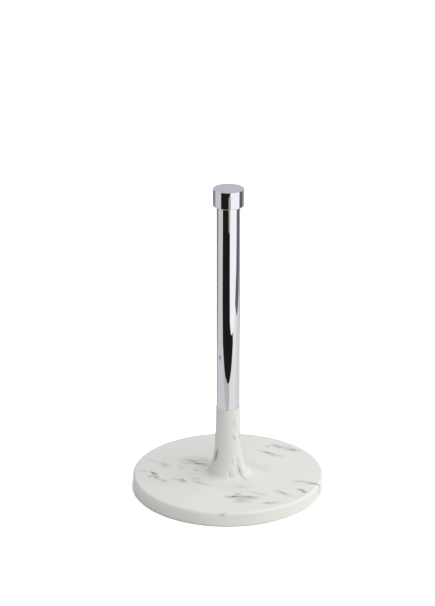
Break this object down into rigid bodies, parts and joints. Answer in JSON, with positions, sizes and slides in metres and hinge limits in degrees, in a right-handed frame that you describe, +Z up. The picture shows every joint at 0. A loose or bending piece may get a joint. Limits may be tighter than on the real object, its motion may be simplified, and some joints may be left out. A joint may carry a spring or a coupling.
{
  "type": "paper towel holder",
  "caption": "Free-standing paper towel holder: round marble-effect resin base with a flared stem, chromed tube for the roll, and a chromed cap that unscrews from a tie rod.",
  "frame": {"origin": "middle of the underside, on the surface that the holder stands on", "axes": "+Z up along the post, -Y towards the picture's viewer, +X to the viewer's right"},
  "size_m": [0.184, 0.184, 0.302],
  "materials": {
    "marble_resin": "satin",
    "chrome": "polished",
    "zinc_steel": "satin",
    "nylon": "satin",
    "brass": "satin",
    "nitrile": "matte",
    "foam": "matte"
  },
  "bodies": {
    "stand": {"resin_base": "marble_resin", "anti_slip_pad": "foam", "tie_rod": "zinc_steel", "base_washer": "zinc_steel", "base_spring_washer": "zinc_steel", "base_nut": "zinc_steel", "tube_foot_bush": "nylon", "post_tube": "chrome", "tube_top_bush": "nylon"},
    "cap_ring": {"cap_o_ring": "nitrile"},
    "cap": {"cap": "chrome", "cap_threaded_insert": "brass"}
  },
  "joints": [
    {"name": "cap_rise", "type": "slide", "parent": "stand", "child": "cap_ring", "axis": [0, 0, 1], "range_m": [0, 0.01]},
    {"name": "cap_turn", "type": "hinge", "parent": "cap_ring", "child": "cap", "pos_m": [0, 0, 0.29375], "axis": [0, 0, 1], "range_deg": [0, 3600]}
  ],
  "couplings": [
    {"joint": "cap_rise", "follows": "cap_turn", "m_per_rad": 0.00015915}
  ]
}
